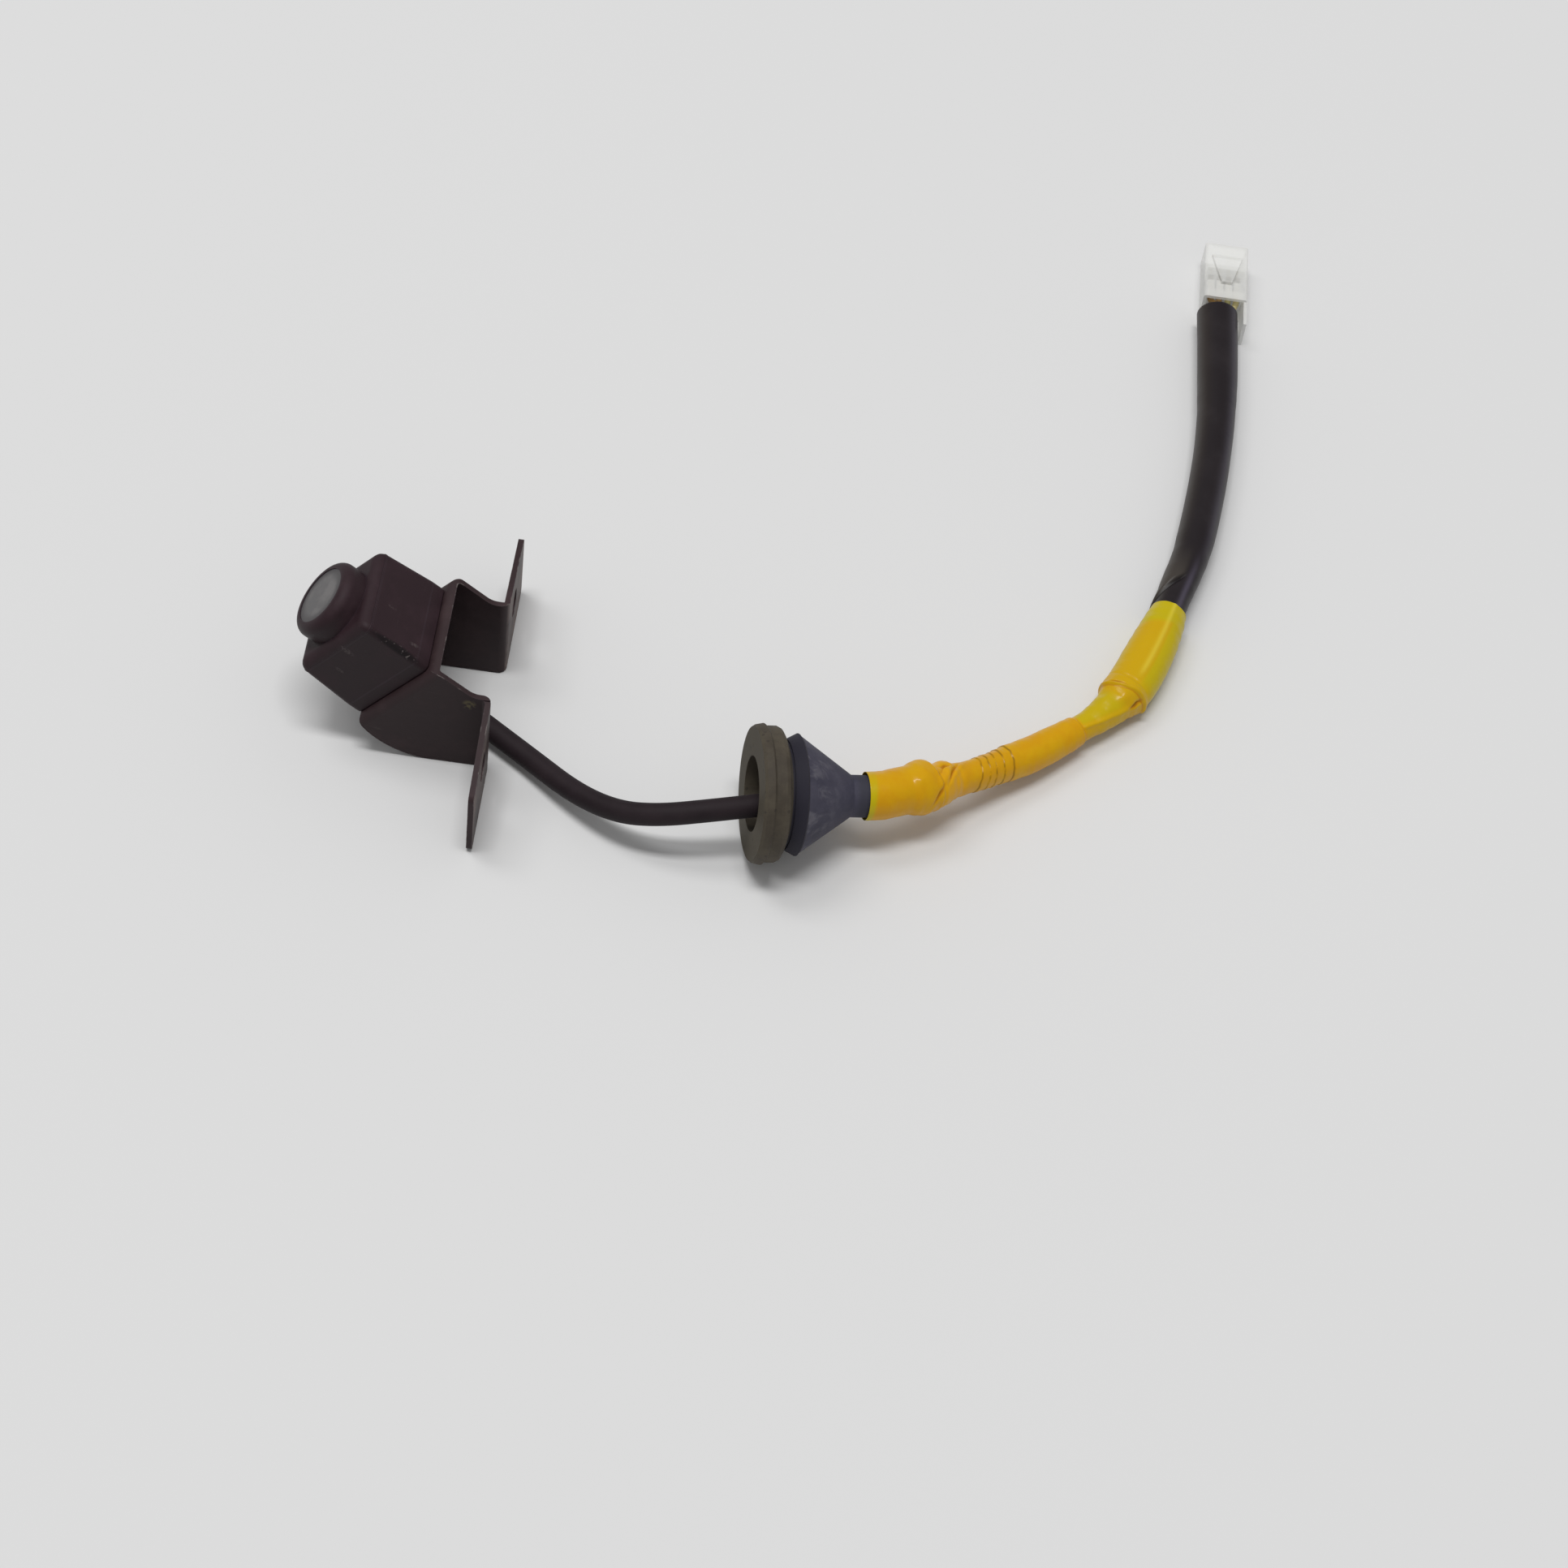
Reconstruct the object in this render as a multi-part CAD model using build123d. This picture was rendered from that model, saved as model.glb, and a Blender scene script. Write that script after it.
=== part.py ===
from build123d import *
import math
import os

# Rear view camera on a folded bracket, with its cable, grommet, taped run, sleeve and plug.
# +Z up from the table, the camera looks towards -Y and up, origin under the middle of the camera unit.

# bracket
sheet = 1.25                 # sheet thickness
bracket_width = 28.0         # over both wings
bend_in = 0.7                # inner bend radius
flange_reach = 23.6          # from the wing's outer face to the flange's tip
flange_root_height = 22.3    # flange height beside the wing
flange_tip_height = 18.2
flange_tip_round = 1.6
hole_radius = 3.3
hole_spread = 23.5           # each hole's distance from the middle plane
hole_height = 12.0
wing_top = 14.5              # top edge of plate and wings, up the plate from its centre
plate_low = 11.5             # plate's lower end, down the plate from its centre
wing_flat_height = 22.7      # short level edge of the wings beside the flanges
wing_flat_start = 14.6       # where the level foot of the wings ends, ahead of the flanges
nose_radius = 13.5           # big round of the wings' lower front
tilt = math.radians(39.56)   # how far up the camera looks
plate_ahead = 21.44          # plate centre ahead of the flanges' rear faces
plate_height = 18.42         # plate centre above the table

# housing, measured forward from the plate's front face
house_rear = 23.6            # square side at the split
house_draft = 1.5            # how much narrower the front is
split_at = 3.3               # rear cover's depth
house_end = 18.0             # front face
front_wall = 1.6
cavity_side = 18.4
cover_floor = 1.8
house_edge = 1.5             # rounding of the long edges
front_round = 2.4            # rounding of the front edges
cavity_corner = 1.2
boss_radius = 9.1            # round lens boss
boss_rise = 5.1
boss_round = 2.2
glass_inset = 0.2            # rim's flat outside the glass
glass_thick = 1.3
glass_depth = 0.15           # glass below the rim
seal_thick = 0.5
seal_width = 0.8

# inner parts; heights are measured from the plate's front face
board_side = 17.4
board_corner = 0.6
board_thick = 1.0
signal_board_at = 4.8
sensor_board_at = 8.4
chip_side = 7.0
signal_chip_thick = 0.9
capacitor = (1.6, 2.6, 1.2)  # width, depth, height
capacitor_row = -6.2
link_size = (8.0, 2.0)
link_row = 6.8
screw_spot = 7.4             # corner posts, from the axis both ways
cover_screw_spot = (7.0, -1.5)
post_radius = 1.9
thick_post_radius = 2.1
spacer_radius = 1.7
screw_radius = 0.9
screw_head = 1.75
screw_head_high = 1.0
housing_screw_end = 8.0
board_screw_end = 12.0
holder_bore = 5.2            # room around the sensor
holder_wall = 1.1
holder_high = 16.0
filter_radius = 3.9
filter_thick = 0.5
filter_at = 11.8
barrel_play = 0.4            # between the barrel's wider front end and the boss
barrel_step = 0.6            # how much wider that end is than the rest
barrel_wall = 1.0            # round the front lens
barrel_head_at = 17.4
barrel_low = 12.6
barrel_top = 21.0
middle_lens_step = 0.8       # each lens and the rear bore are this much smaller than the one ahead
rear_lens_step = 0.5
rear_bore_step = 0.4
rear_lens_at = 13.2
spacer_at = 14.6
middle_lens_at = 15.2
aperture_at = 17.2
aperture_width = 2.1         # from the ring's rim to its hole
front_lens_at = 18.0
retainer_width = 0.58
crown = ((0.6, 0.6), (1.6, 1.1), (3.0, 1.45))  # the front lens's dome: in from its rim, rise
crown_top = 1.55
retainer_at = 19.2
retainer_top = 20.4
header_size = (8.0, 3.6)
header_at = 3.0
inner_lead_radius = 0.5

# cable, grommet and plug
cable_radius = 2.5
gland_radius = 4.0
gland_lip = 0.8              # the flange inside the cover is this much wider
gland_step = 0.6             # thickness of the gland's flange inside the cover
gland_drop = 3.5             # gland below the camera's axis
gland_tail = 3.6             # gland's reach behind the plate's front face
gland_room = 0.3             # clearance in the plate
ring_radius = 15.2
ring_edge_at = 2.1           # moulding edge of the ring, back from its front face
ring_deep = 6.0
groove_radius = 11.5
groove_end = 7.2
lip_foot = 11.9
lip_radius = 13.2
lip_at = 9.7                 # sharp edge of the lip
grommet_bore = 8.2
neck_radius = 4.6
neck_play = 0.3              # clearance of the cable in the neck
neck_start = 21.6            # back from the ring's front face
neck_end = 28.0
neck_seen = 25.0             # where the tape begins
neck_wrap = 0.35             # thickness of the wrap on the neck
neck_lap = 1.5               # the wrap's reach past the neck
sleeve_radius = 4.7
sleeve_wall = 0.9
lead_radius = 0.75
lead_spread = 1.1            # the leads' places in the cut end of the cable
plug_rear = -157.5
plug_length = 19.0
plug_width = 10.8
plug_height = 7.6
plug_wall = 0.8
plug_mid = 158.3             # behind the flanges
plug_pitch = 2.2
cell_width = 1.8
cell_height = 3.8            # lead and terminal height above the table
bay_depth = 3.5
socket_depth = 8.0
terminal_rear = 5.7          # leads end this far inside the plug
terminal_width = 1.2
pin_width = 0.64
pin_reach = 3.0
skirt_reach = 7.8
latch_front = 3.8            # half width of the tapered latch at its two ends
latch_rear = 1.3
latch_span = (4.8, 14.0)
latch_rise = 0.9

# the unit is centred on its own depth: its front is the boss rim's lowest round
rim_ahead = house_end + boss_rise - boss_round
unit_depth = (plate_ahead + math.cos(tilt) * rim_ahead
              + math.sin(tilt) * (boss_radius - boss_round) + boss_round)
back_y = unit_depth / 2      # the flanges' rear faces
half = bracket_width / 2
house_front = house_rear - house_draft
glass_radius = boss_radius - boss_round - glass_inset
boss_bore = glass_radius - seal_width + 0.1
barrel_head = boss_bore - barrel_play
barrel_radius = barrel_head - barrel_step
holder_radius = max(holder_bore + holder_wall, barrel_radius + holder_wall + 0.2)
front_lens_radius = barrel_head - barrel_wall
middle_lens_radius = front_lens_radius - middle_lens_step
rear_lens_radius = middle_lens_radius - rear_lens_step
rear_bore = rear_lens_radius - rear_bore_step
neck_bore = cable_radius + neck_play
bend_out = bend_in + sheet
fold_leg = bend_out + 1.2
cover_bosses = (cover_screw_spot, (-cover_screw_spot[0], cover_screw_spot[1]))
gland_spot = ((0, -gland_drop),)
housing_posts = ((screw_spot, screw_spot), (-screw_spot, -screw_spot))
board_posts = ((-screw_spot, screw_spot), (screw_spot, -screw_spot))
plate_plane = Plane(origin=(0, back_y - plate_ahead, plate_height), x_dir=(1, 0, 0),
                    z_dir=(0, -math.cos(tilt), math.sin(tilt)))


def on_plate(up, ahead):
    """Side view point (y, z) of a place up the plate and ahead of it."""
    y = back_y - plate_ahead + up * math.sin(tilt) - ahead * math.cos(tilt)
    return y, plate_height + up * math.cos(tilt) + ahead * math.sin(tilt)


def post(radius, low, high, spots=((0, 0),), hole=0):
    """Round posts or tubes that stand along the camera's axis, joined into one shape."""
    whole = Part()
    for x, y in spots:
        one = Pos(x, y, (low + high) / 2) * Cylinder(radius, high - low)
        if hole:
            one -= Pos(x, y, (low + high) / 2) * Cylinder(hole, high - low)
        whole += one
    return whole


def block(wide, tall, low, high, x=0, y=0, edge=0):
    """A block along the camera's axis, its long edges rounded if wanted."""
    body = Pos(x, y, (low + high) / 2) * Box(wide, tall, high - low)
    if edge:
        body = fillet(body.edges().filter_by(Axis.Z), edge)
    return body


def spun(points, at=Location()):
    """A turned piece from (radius, height) points."""
    with BuildPart() as made:
        with BuildSketch(Plane.XZ):
            with BuildLine():
                Polyline(*points, close=True)
            make_face()
        revolve(axis=Axis.Z)
    return at * made.part


def save(name, shape, on_axis=False):
    """Writes one node; pieces drawn on the camera's axis are moved into the part's frame."""
    if on_axis:
        shape = plate_plane.location * shape
    solids = shape.solids()
    export_step(solids[0] if len(solids) == 1 else Compound(children=list(solids)), f"parts/{name}.step")
    print(name, len(solids), round(sum(one.volume for one in solids), 2))


# bracket

def side_outline():
    """Wings and plate seen from the side."""
    top_fold = on_plate(wing_top, 0)
    low_fold = on_plate(-plate_low, 0)
    top_end = (top_fold[0] + (top_fold[1] - wing_flat_height) / math.tan(tilt), wing_flat_height)
    foot_end = (back_y - wing_flat_start, 0)
    nose_mid = (foot_end[0] - nose_radius * math.cos(tilt), nose_radius * (1 - math.sin(tilt)))
    with BuildSketch(Plane.YZ) as sketch:
        with BuildLine():
            Polyline(low_fold, top_fold, top_end, (back_y, wing_flat_height), (back_y, 0), foot_end)
            ThreePointArc(foot_end, nose_mid, low_fold)
        make_face()
        for corner, radius in ((top_fold, 2.4), (top_end, 4.0), (low_fold, 1.4)):
            fillet(sketch.vertices().sort_by_distance((*corner, 0))[0], radius)
    return sketch.sketch


def flange_outline():
    """Both flanges seen from the front, reaching in past the bends, with their holes."""
    tip = half + flange_reach
    with BuildSketch(Plane.XZ) as sketch:
        with BuildLine():
            Polyline((-tip, 0), (tip, 0), (tip, flange_tip_height), (half, flange_root_height),
                     (-half, flange_root_height), (-tip, flange_tip_height), close=True)
        make_face()
        fillet([v for v in sketch.vertices() if abs(v.X) > tip - 0.1], flange_tip_round)
        with Locations((hole_spread, hole_height), (-hole_spread, hole_height)):
            Circle(hole_radius, mode=Mode.SUBTRACT)
    return sketch.sketch


def folded_angles():
    """Wings and flanges as two folded angles, seen from above and long enough to be cut."""
    angles = Part()
    for side in (1, -1):
        inner, outer, tip = side * (half - sheet), side * half, side * (half + flange_reach)
        with BuildSketch() as plan:
            with BuildLine():
                Polyline((inner, -unit_depth), (inner, back_y), (tip, back_y), (tip, back_y - sheet),
                         (outer, back_y - sheet), (outer, -unit_depth), close=True)
            make_face()
            fillet(plan.vertices().sort_by_distance((inner, back_y, 0))[0], bend_out)
            fillet(plan.vertices().sort_by_distance((outer, back_y - sheet, 0))[0], bend_in)
        angles += extrude(plan.sketch, 60)
    return angles


def front_channel():
    """Base plate with its two bends, on the camera's axis and long enough to be cut."""
    with BuildSketch(Plane.XZ) as cut:
        with BuildLine():
            Polyline((-half, 0), (half, 0), (half, -fold_leg), (half - sheet, -fold_leg),
                     (half - sheet, -sheet), (sheet - half, -sheet), (sheet - half, -fold_leg),
                     (-half, -fold_leg), close=True)
        make_face()
        fillet([v for v in cut.vertices() if abs(v.Y) < 0.01], bend_out)
        fillet([v for v in cut.vertices() if abs(v.Y + sheet) < 0.01], bend_in)
    return extrude(cut.sketch, 40, both=True)


def mounting_bracket():
    outline = extrude(side_outline(), half, both=True)
    fronts = Pos(0, back_y, 0) * extrude(flange_outline(), bend_out + 1, both=True)
    axis_place = plate_plane.location
    body = folded_angles() & (outline + fronts)
    body -= axis_place * block(80, 80, -fold_leg, 40)
    body += (axis_place * front_channel()) & outline
    body -= axis_place * post(gland_radius + gland_room, -5, 5, gland_spot)
    body -= axis_place * post(screw_radius, -5, 5, cover_bosses)
    return body


# housing, window and covers, all on the camera's axis

def front_housing():
    depth = house_end - split_at
    lean = math.degrees(math.atan((house_rear - house_front) / 2 / depth))
    with BuildPart() as shell:
        with BuildSketch(Plane.XY.offset(split_at)):
            Rectangle(house_rear, house_rear)
        extrude(amount=depth, taper=lean)
        fillet(shell.faces().sort_by(Axis.Z)[-1].edges(), front_round)
        fillet([e for e in shell.edges() if abs((e @ 1 - e @ 0).Z) > 1], house_edge)
        with Locations((0, 0, house_end)):
            Cylinder(boss_radius, 2 * boss_rise)
        fillet(shell.faces().sort_by(Axis.Z)[-1].edges(), boss_round)
    rim = house_end + boss_rise
    body = shell.part - block(cavity_side, cavity_side, 0, house_end - front_wall, edge=cavity_corner)
    body -= post(boss_bore, 0, rim + 1)
    body -= post(glass_radius, rim - glass_depth - glass_thick - seal_thick, rim + 1)
    body += post(thick_post_radius, split_at, housing_screw_end + 2, housing_posts)
    body += post(post_radius, sensor_board_at + board_thick, house_end - front_wall + 0.2, board_posts)
    body -= post(screw_radius, 0, housing_screw_end + 0.2, housing_posts)
    body -= post(screw_radius, 0, board_screw_end + 0.2, board_posts)
    return body


def rear_cover():
    body = block(house_rear, house_rear, 0, split_at, edge=house_edge)
    body = fillet(body.faces().sort_by(Axis.Z)[0].edges(), 0.4)
    body -= block(cavity_side, cavity_side, cover_floor, split_at + 1, edge=cavity_corner)
    body += post(thick_post_radius, cover_floor, split_at, housing_posts)
    body += post(post_radius, cover_floor - 0.2, split_at, cover_bosses)
    body -= post(gland_radius, -1, 5, gland_spot)
    body -= post(screw_radius, -1, 5, housing_posts + cover_bosses)
    body -= post(screw_head, -1, screw_head_high + 0.1, housing_posts)
    return body - seal_ring()


def seal_ring():
    outer = (cavity_side + house_rear) / 2 + seal_width
    ring = block(outer, outer, split_at - seal_width, split_at, edge=1.6)
    inner = outer - 2 * seal_width
    return ring - block(inner, inner, 0, 9, edge=0.8)


def screws(head, seat, end, spots):
    """Round-headed screws, the head behind its seat and the shank ahead of it."""
    return post(head, seat - screw_head_high, seat, spots) + post(screw_radius, seat, end, spots)


def lens_group():
    """Barrel, its lenses and rings: steps of bore radius from the rear to the front."""
    steps = ((rear_bore, barrel_low), (rear_lens_radius, rear_lens_at), (middle_lens_radius, middle_lens_at),
             (front_lens_radius, front_lens_at), (front_lens_radius, barrel_top))
    barrel = (post(barrel_radius, barrel_low, front_lens_at)
              + post(barrel_head, barrel_head_at, barrel_top))
    for (radius, low), (_, high) in zip(steps, steps[1:]):
        barrel -= post(radius, low, high)
    dome = spun(((0, front_lens_at), (front_lens_radius, front_lens_at), (front_lens_radius, retainer_at),
                 *((front_lens_radius - inset, retainer_at + rise) for inset, rise in crown),
                 (0, retainer_at + crown_top)))
    return {"lens_barrel": barrel,
            "rear_lens": post(rear_lens_radius, rear_lens_at, spacer_at),
            "lens_spacer": post(rear_lens_radius, spacer_at, middle_lens_at, hole=rear_lens_radius - 1),
            "middle_lens": post(middle_lens_radius, middle_lens_at, aperture_at),
            "aperture_ring": post(middle_lens_radius, aperture_at, front_lens_at,
                                  hole=middle_lens_radius - aperture_width),
            "front_lens": dome,
            "lens_retainer": post(front_lens_radius, retainer_at, retainer_top,
                                  hole=front_lens_radius - retainer_width) - dome}


def lens_holder():
    body = post(holder_radius, sensor_board_at + board_thick, holder_high)
    body -= post(holder_bore, 0, filter_at)
    body -= post(filter_radius, filter_at - 1, filter_at + filter_thick)
    body -= post(filter_radius - 0.7, filter_at, rear_lens_at)
    return body - post(barrel_radius, barrel_low, barrel_top)


def board(low):
    body = block(board_side, board_side, low, low + board_thick, edge=board_corner)
    body -= post(thick_post_radius + 0.25, 0, barrel_top, housing_posts)
    return body - post(screw_radius, 0, barrel_top, board_posts)


def cable_gland():
    inner = cover_floor + gland_step
    profile = ((cable_radius, inner), (gland_radius + gland_lip, inner), (gland_radius + gland_lip, cover_floor),
               (gland_radius, cover_floor), (gland_radius, -gland_tail / 2),
               (gland_radius - 0.8, -gland_tail), (cable_radius, -gland_tail))
    return spun(profile, Pos(0, -gland_drop, 0))


def camera_unit():
    rim = house_end + boss_rise
    glass_low = rim - glass_depth - glass_thick
    chip_at = signal_board_at + board_thick
    nodes = {"front_housing": front_housing(), "rear_cover": rear_cover(), "housing_seal": seal_ring()}
    nodes["lens_window"] = post(glass_radius, glass_low, rim - glass_depth)
    nodes["window_seal"] = post(glass_radius, glass_low - seal_thick, glass_low, hole=boss_bore)
    nodes.update(lens_group())
    nodes["lens_holder"] = lens_holder()
    sensor_at = sensor_board_at + board_thick
    nodes["infrared_filter"] = post(filter_radius, filter_at, filter_at + filter_thick)
    nodes["image_sensor"] = block(chip_side, chip_side, sensor_at, sensor_at + 1)
    nodes["sensor_board"] = board(sensor_board_at)
    nodes["signal_board"] = board(signal_board_at)
    nodes["signal_chip"] = block(chip_side, chip_side, chip_at, chip_at + signal_chip_thick)
    wide, deep, high = capacitor
    nodes["board_capacitors"] = Compound(children=[
        block(wide, deep, chip_at, chip_at + high, x=x, y=capacitor_row) for x in (-3, 0, 3)])
    nodes["board_link"] = block(*link_size, chip_at, sensor_board_at, y=link_row)
    nodes["board_spacers"] = post(spacer_radius, chip_at, sensor_board_at, board_posts, screw_radius)
    nodes["board_screws"] = screws(screw_head - 0.15, signal_board_at, board_screw_end, board_posts)
    nodes["housing_screws"] = screws(screw_head, screw_head_high + 0.1, housing_screw_end, housing_posts)
    nodes["bracket_screws"] = screws(screw_head + 0.15, -sheet, split_at, cover_bosses)
    nodes["cable_header"] = block(*header_size, header_at, signal_board_at, y=-gland_drop)
    spots = [(x * lead_spread, y * lead_spread - gland_drop) for x in (-1, 1) for y in (-1, 1)]
    nodes["inner_leads"] = post(inner_lead_radius, cover_floor + gland_step, header_at, spots)
    nodes["cable_gland"] = cable_gland()
    return nodes


# cable run; y counts from the flanges' rear faces

cable_points = [(0, *on_plate(-gland_drop, cover_floor + gland_step)), (0, *on_plate(-gland_drop, -8.5))] + [
    (x, y + back_y, z) for x, y, z in (
        (3.0, -7.4, 5.4), (7.6, 1.4, 3.4), (13.4, 9.6, 3.5), (22.2, 20.1, 5.4), (28.2, 29.8, 8.6),
        (30.0, 38.8, 11.8), (28.5, 49.6, 14.0), (25.1, 62.5, 14.9), (19.2, 78.0, 13.6),
        (17.1, 88.2, 12.7), (11.2, 96.4, 11.1), (3.2, 107.0, 7.8), (-5.4, 117.0, 5.5),
        (-16.0, 129.3, 4.7), (-27.5, 138.6, 4.8), (-42.0, 144.0, 5.0), (-53.5, 147.4, 5.1),
        (-66.0, 150.9, 5.0), (-84.0, 154.2, 4.8), (-106.5, 156.7, 4.7), (-131.0, 157.2, 4.7),
        (-143.5, 157.2, 4.7))]
sleeve_points = [(x, y + back_y, z) for x, y, z in (
    (-56.5, 148.3, 5.1), (-66.0, 151.0, 5.0), (-79.3, 153.7, 4.9), (-106.5, 156.9, 4.7),
    (-131.0, 157.5, 4.7), (-154.0, 156.75, 4.7))]
grommet_front = (23.46, 57.8)
grommet_axis = Vector(-0.2032, 0.9732, -0.0813).normalized()

# taped stretches: node, first and last control point of the cable, radius
tapes = (("neck_tape", 10.5, 11.5, 4.8), ("neck_tape", 12, 12, 5.9), ("cable_tape", 12.5, 12.5, 4.2),
         ("cable_tape", 13, 13.5, 3.4), ("cable_tape", 14, 15, 3.7), ("cable_tape", 15.5, 16, 3.1),
         ("sleeve_tape", 16.5, 18.5, 5.0))

# leads: start above and beside the cable's middle, then any bend, then the cell in the plug
lead_bends = {
    "wire_black": (-1, 1, ((-147.4, 156.1, 5.8), (-152.4, 157.2, 7.0), (-156.2, 156.2, 6.0)), 0),
    "wire_red": (-1, -1, (), 1),
    "wire_green": (1, -1, (), 2),
    "wire_yellow": (1, 1, ((-148.0, 158.3, 5.8), (-152.8, 159.4, 5.6)), 3)}


def cord_path(points):
    """Straight runs joined by tangent arcs; prints length and bend radii."""
    places = [Vector(*point) for point in points]
    runs = [(b - a).length for a, b in zip(places, places[1:])]
    radii = []
    for i in range(1, len(places) - 1):
        turn = (places[i] - places[i - 1]).get_angle(places[i + 1] - places[i])
        radii.append(0.45 * min(runs[i - 1], runs[i]) / math.tan(math.radians(turn / 2)))
    path = FilletPolyline(*places, radius=radii)
    print("  path length", round(path.length, 1), "runs", [round(r, 1) for r in runs],
          "radii", [round(r, 1) for r in radii])
    return path


def tube(edges, radius):
    """A round solid along some edges of a path."""
    way = Wire(edges)
    body = sweep(Plane(origin=way @ 0, z_dir=way % 0) * Circle(radius), path=way)
    print("  volume against section x length", round(body.volume / (math.pi * radius ** 2 * way.length), 4))
    return body


def stretch(path, first, last):
    """Edges of a path from one control point's arc, or the run after it at a half, to another."""
    return path.edges()[round(2 * first) - 1:round(2 * last)]


def grommet_place():
    rise = ring_radius * math.hypot(grommet_axis.X, grommet_axis.Y) - ring_edge_at * grommet_axis.Z
    return Plane(origin=(grommet_front[0], grommet_front[1] + back_y, rise), z_dir=grommet_axis).location


def grommet():
    rim = ring_radius - 0.5
    profile = ((grommet_bore, 0), (rim - 0.2, 0), (rim + 0.2, 0.6), (ring_radius, ring_edge_at),
               (rim, ring_edge_at + 0.5), (rim, ring_deep - 1.2), (rim - 0.4, ring_deep - 0.4),
               (rim - 1.1, ring_deep), (groove_radius, ring_deep), (groove_radius, groove_end),
               (lip_foot, groove_end), (lip_radius, lip_at), (lip_radius - 0.4, lip_at + 0.3),
               (neck_radius, neck_start), (neck_radius, neck_end), (neck_bore, neck_end),
               (neck_bore, neck_start + 0.2), (lip_radius - 2.8, lip_at + 1), (grommet_bore, lip_at - 1))
    return spun(profile, grommet_place())


def cells():
    """The four cells' places across the plug."""
    return [plug_mid + back_y + plug_pitch * (i - 1.5) for i in range(4)]


def leads():
    nodes = {}
    x, y, z = cable_points[-1]
    for name, (side, rise, bends, cell) in lead_bends.items():
        start = (x, y + side * lead_spread, z + rise * lead_spread)
        middle = [(a, b + back_y, c) for a, b, c in bends]
        if not middle:
            middle = [(x - 4.5, start[1], start[2])]
        across = cells()[cell]
        way = cord_path([start, *middle, (plug_rear - 2.5 if bends else plug_rear + 0.5, across, cell_height),
                         (plug_rear - terminal_rear, across, cell_height)])
        nodes[name] = tube(way.edges(), lead_radius)
    return nodes


def along(low, high, across, wide, bottom, top):
    """A block of the plug: how deep it starts and ends, its middle across, width and heights."""
    middle = plug_rear - (low + high) / 2
    return Pos(middle, across, (bottom + top) / 2) * Box(high - low, wide, top - bottom)


def connector_housing():
    mid = plug_mid + back_y
    inside = plug_width - 2 * plug_wall
    body = along(0, plug_length, mid, plug_width, 0, plug_height)
    body = fillet(body.edges().filter_by(Axis.X), 0.6)
    body -= along(-1, bay_depth, mid, inside, plug_wall, plug_height - plug_wall)
    body -= along(plug_length - socket_depth, plug_length + 1, mid, inside, plug_wall, plug_height - plug_wall)
    for across in cells():
        body -= along(0, 9, across, cell_width, cell_height - cell_width / 2, cell_height + cell_width / 2)
        body -= along(0, plug_length, across, terminal_width, cell_height - terminal_width / 2,
                      cell_height + terminal_width / 2)
    start, end = (plug_rear - deep for deep in latch_span)
    with BuildSketch(Plane.XY.offset(plug_height - 0.1)) as tongue:
        with BuildLine():
            Polyline((start, mid - latch_rear), (start, mid + latch_rear), (end, mid + latch_front),
                     (end, mid - latch_front), close=True)
        make_face()
    body += extrude(tongue.sketch, latch_rise + 0.1)
    body += along(-skirt_reach, 0.1, mid + plug_width / 2 - plug_wall / 2, plug_wall, 0, plug_height - 0.6)
    return body


def connector_terminals():
    body = Part()
    start = plug_length - socket_depth
    for across in cells():
        low, high = cell_height - terminal_width / 2, cell_height + terminal_width / 2
        body += along(terminal_rear, start, across, terminal_width, low, high)
        body += along(start, start + pin_reach, across, pin_width, cell_height - pin_width / 2,
                      cell_height + pin_width / 2)
    return body


def cord_nodes():
    path = cord_path(cable_points)
    cable = tube(path.edges(), cable_radius)
    collar = grommet()
    sleeve_way = cord_path(sleeve_points).edges()
    sleeve_outside = tube(sleeve_way, sleeve_radius)
    nodes = {"camera_cable": cable, "grommet": collar,
             "protective_sleeve": sleeve_outside - tube(sleeve_way, sleeve_radius - sleeve_wall)}
    collar_room = grommet_place() * post(3 * neck_radius, 0, neck_end)
    for name, first, last, radius in tapes:
        layer = tube(stretch(path, first, last), radius) - cable - collar_room - sleeve_outside
        nodes[name] = nodes[name] + layer if name in nodes else layer
    cup = post(neck_radius + neck_wrap, neck_seen, neck_end + neck_lap) - post(neck_radius, 0, neck_end)
    nodes["neck_tape"] += grommet_place() * cup - cable
    nodes.update(leads())
    nodes["connector_housing"] = connector_housing()
    nodes["connector_terminals"] = connector_terminals()
    return nodes


os.makedirs("parts", exist_ok=True)
save("mounting_bracket", mounting_bracket())
for name, shape in camera_unit().items():
    save(name, shape, on_axis=True)
for name, shape in cord_nodes().items():
    save(name, shape)
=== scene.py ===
import bpy
import bmesh
import math
from mathutils import Matrix, Vector, noise


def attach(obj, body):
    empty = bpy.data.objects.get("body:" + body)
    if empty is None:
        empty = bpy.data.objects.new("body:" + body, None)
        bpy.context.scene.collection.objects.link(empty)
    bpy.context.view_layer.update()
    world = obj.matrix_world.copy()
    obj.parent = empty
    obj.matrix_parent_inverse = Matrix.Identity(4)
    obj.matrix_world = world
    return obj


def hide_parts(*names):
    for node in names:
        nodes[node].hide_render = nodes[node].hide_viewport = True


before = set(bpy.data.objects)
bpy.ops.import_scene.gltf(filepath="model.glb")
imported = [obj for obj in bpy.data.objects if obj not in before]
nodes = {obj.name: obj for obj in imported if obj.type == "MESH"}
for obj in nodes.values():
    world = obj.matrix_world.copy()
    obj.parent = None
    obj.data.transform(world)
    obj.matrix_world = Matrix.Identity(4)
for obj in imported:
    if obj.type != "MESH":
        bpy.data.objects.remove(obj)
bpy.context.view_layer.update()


# shader maths

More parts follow.
